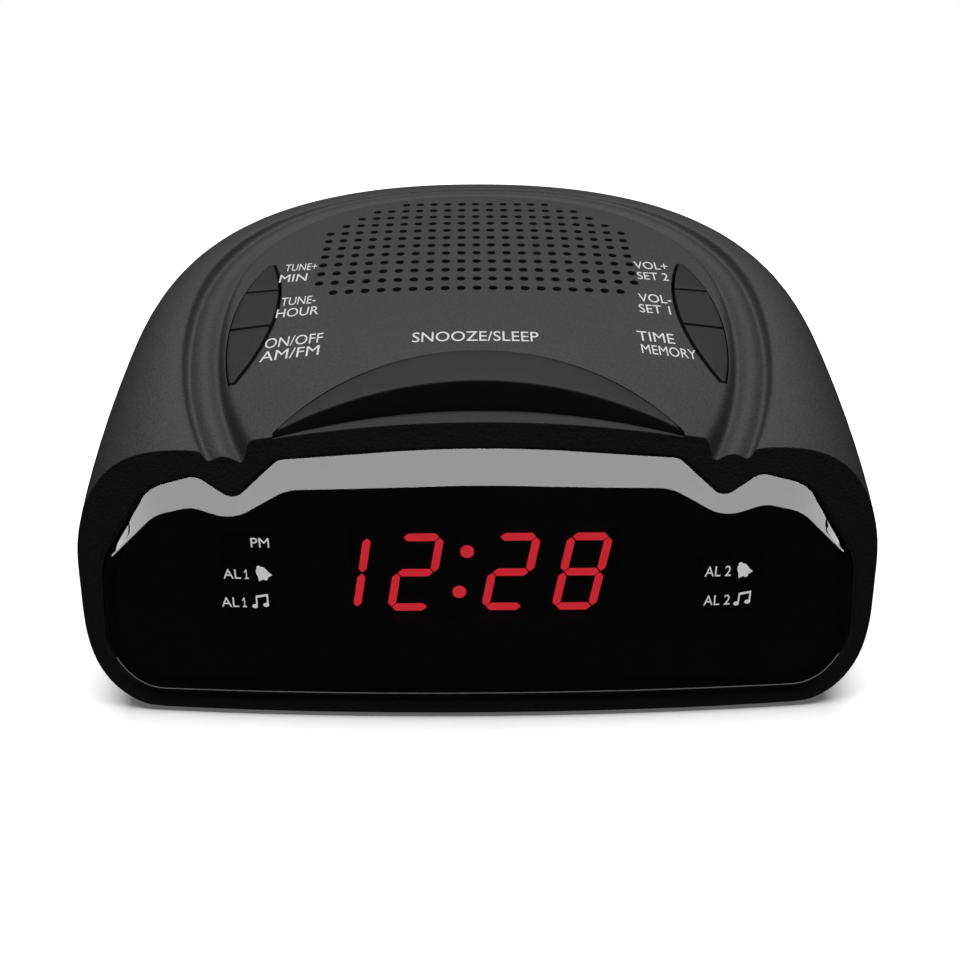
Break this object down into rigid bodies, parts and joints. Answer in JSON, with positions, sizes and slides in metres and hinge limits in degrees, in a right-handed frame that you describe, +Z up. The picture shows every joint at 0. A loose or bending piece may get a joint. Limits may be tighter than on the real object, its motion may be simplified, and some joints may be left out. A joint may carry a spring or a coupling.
{
  "type": "clock radio",
  "caption": "Bedside clock radio: domed cabinet, grooved top panel with a dotted speaker grille, crescent snooze bar, side keys and a wide glossy window with a digital display.",
  "frame": {"origin": "centre of the footprint, on the surface that the feet stand on", "axes": "+X to the right and -Y towards the person who faces the display, +Z up"},
  "size_m": [0.1532, 0.1278, 0.0763],
  "materials": {
    "cabinet_plastic": "fine spark-eroded texture",
    "base_plastic": "fine texture",
    "key_plastic": "smooth satin",
    "window_acrylic": "polished, dark smoked",
    "mask_plastic": "matte",
    "display_case": "satin",
    "lit_red": "glowing",
    "unlit_red": "satin",
    "lamp_clear": "clear moulded",
    "circuit_board": "green lacquer",
    "switch_black": "satin",
    "stem_plastic": "satin",
    "basket_steel": "zinc plated",
    "magnet_ferrite": "ground ferrite",
    "cone_paper": "pressed black pulp",
    "speaker_felt": "thin dust cloth",
    "ferrite": "sintered, dull",
    "copper_wire": "enamelled",
    "clip_plastic": "satin nylon",
    "chip_epoxy": "matte epoxy",
    "capacitor_sleeve": "shrink sleeve",
    "plated_steel": "plated",
    "jack_plastic": "satin",
    "cell_sleeve": "printed sleeve, plain",
    "foot_rubber": "soft",
    "ribbon": "satin PVC",
    "lead_pvc": "satin PVC"
  },
  "bodies": {
    "cabinet": {"top_shell": "cabinet_plastic", "base_shell": "base_plastic", "display_window": "window_acrylic", "light_mask": "mask_plastic", "led_module": "display_case", "lit_segments": "lit_red", "dark_segments": "unlit_red", "indicator_leds": "lamp_clear", "display_board": "circuit_board", "main_board": "circuit_board", "key_board_left": "circuit_board", "key_board_right": "circuit_board", "snooze_board": "circuit_board", "switches_left": "switch_black", "switches_right": "switch_black", "switch_snooze": "switch_black", "speaker_basket": "basket_steel", "speaker_magnet": "magnet_ferrite", "speaker_cone": "cone_paper", "speaker_dust_cap": "cone_paper", "speaker_cloth": "speaker_felt", "ferrite_rod": "ferrite", "antenna_coil": "copper_wire", "rod_clip_left": "clip_plastic", "rod_clip_right": "clip_plastic", "clock_chip": "chip_epoxy", "radio_chip": "chip_epoxy", "capacitors": "capacitor_sleeve", "crystal": "plated_steel", "dc_jack": "jack_plastic", "jack_nut": "plated_steel", "cell_front": "cell_sleeve", "cell_rear": "cell_sleeve", "cell_contacts": "plated_steel", "cell_springs": "plated_steel", "foot_front_left": "foot_rubber", "foot_front_right": "foot_rubber", "foot_rear_left": "foot_rubber", "foot_rear_right": "foot_rubber", "case_screws": "plated_steel", "board_screws": "plated_steel", "speaker_screws": "plated_steel", "ribbon_cable": "ribbon", "speaker_leads": "lead_pvc"},
    "key_tune_up_body": {"key_tune_up": "key_plastic", "stem_tune_up": "stem_plastic"},
    "key_tune_down_body": {"key_tune_down": "key_plastic", "stem_tune_down": "stem_plastic"},
    "key_power_body": {"key_power": "key_plastic", "stem_power": "stem_plastic"},
    "key_volume_up_body": {"key_volume_up": "key_plastic", "stem_volume_up": "stem_plastic"},
    "key_volume_down_body": {"key_volume_down": "key_plastic", "stem_volume_down": "stem_plastic"},
    "key_time_body": {"key_time": "key_plastic", "stem_time": "stem_plastic"},
    "snooze_body": {"snooze_bar": "key_plastic", "stem_snooze": "stem_plastic"},
    "door_body": {"battery_door": "base_plastic"}
  },
  "joints": [
    {"name": "tune_up_press", "type": "slide", "parent": "cabinet", "child": "key_tune_up_body", "axis": [0, 0, -1], "range_m": [0, 0.0008], "stiffness_N_per_m": 400, "springref_m": -0.0008},
    {"name": "tune_down_press", "type": "slide", "parent": "cabinet", "child": "key_tune_down_body", "axis": [0, 0, -1], "range_m": [0, 0.0008], "stiffness_N_per_m": 400, "springref_m": -0.0008},
    {"name": "power_press", "type": "slide", "parent": "cabinet", "child": "key_power_body", "axis": [0, 0, -1], "range_m": [0, 0.0008], "stiffness_N_per_m": 400, "springref_m": -0.0008},
    {"name": "volume_up_press", "type": "slide", "parent": "cabinet", "child": "key_volume_up_body", "axis": [0, 0, -1], "range_m": [0, 0.0008], "stiffness_N_per_m": 400, "springref_m": -0.0008},
    {"name": "volume_down_press", "type": "slide", "parent": "cabinet", "child": "key_volume_down_body", "axis": [0, 0, -1], "range_m": [0, 0.0008], "stiffness_N_per_m": 400, "springref_m": -0.0008},
    {"name": "time_press", "type": "slide", "parent": "cabinet", "child": "key_time_body", "axis": [0, 0, -1], "range_m": [0, 0.0008], "stiffness_N_per_m": 400, "springref_m": -0.0008},
    {"name": "snooze_press", "type": "slide", "parent": "cabinet", "child": "snooze_body", "axis": [0, 0, -1], "range_m": [0, 0.0008], "stiffness_N_per_m": 500, "springref_m": -0.001},
    {"name": "door_slide", "type": "slide", "parent": "cabinet", "child": "door_body", "axis": [0, 1, 0], "range_m": [0, 0.016]}
  ]
}
